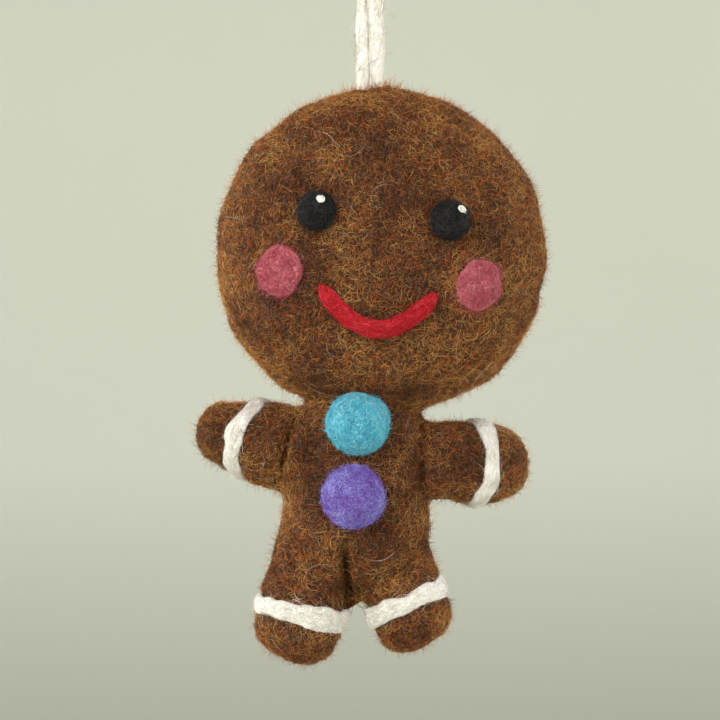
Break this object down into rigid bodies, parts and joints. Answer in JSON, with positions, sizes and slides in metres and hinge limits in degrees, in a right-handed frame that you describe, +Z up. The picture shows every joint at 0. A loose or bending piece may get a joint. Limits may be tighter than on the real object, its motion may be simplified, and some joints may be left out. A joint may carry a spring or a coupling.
{
  "type": "felt christmas ornament",
  "caption": "Needle-felted gingerbread figure with white bands at wrists and ankles and felt buttons, hung by a looped wool cord as a tree ornament.",
  "frame": {"origin": "inside of the hanging loop's top, where the cord bears on a twig or hook", "axes": "+Z up along the hanging cord, +X to the viewer's right, +Y away from the viewer; the figure faces -Y"},
  "size_m": [0.0788, 0.0573, 0.2025],
  "materials": {
    "ginger_wool": "felted wool",
    "core_wool": "felted wool",
    "white_wool": "felted wool",
    "black_wool": "felted wool",
    "rose_wool": "felted wool",
    "red_wool": "felted wool",
    "turquoise_wool": "felted wool",
    "violet_wool": "felted wool",
    "cord_yarn": "loosely spun wool yarn"
  },
  "bodies": {
    "loop": {"cord_loop": "cord_yarn"},
    "legs": {"cord_leg_left": "cord_yarn", "cord_leg_right": "cord_yarn"},
    "figure": {"cord_knot": "cord_yarn", "head": "ginger_wool", "head_core": "core_wool", "eye_left": "black_wool", "eye_right": "black_wool", "eye_glint_left": "white_wool", "eye_glint_right": "white_wool", "cheek_left": "rose_wool", "cheek_right": "rose_wool", "smile": "red_wool", "torso": "ginger_wool", "torso_core": "core_wool", "button_top": "turquoise_wool", "button_bottom": "violet_wool", "arm_left": "ginger_wool", "arm_right": "ginger_wool", "wrist_band_left": "white_wool", "wrist_band_right": "white_wool", "leg_left": "ginger_wool", "leg_right": "ginger_wool", "ankle_band_left": "white_wool", "ankle_band_right": "white_wool"}
  },
  "joints": [
    {"name": "swing", "type": "hinge", "parent": "loop", "child": "legs", "pos_m": [0, 0, -0.053], "axis": [0, 1, 0], "range_deg": [-45, 45], "deforming": ["cord_leg_left", "cord_leg_right"]},
    {"name": "turn", "type": "hinge", "parent": "legs", "child": "figure", "pos_m": [0, 0, -0.07], "axis": [0, 0, 1], "range_deg": [-180, 180]}
  ]
}
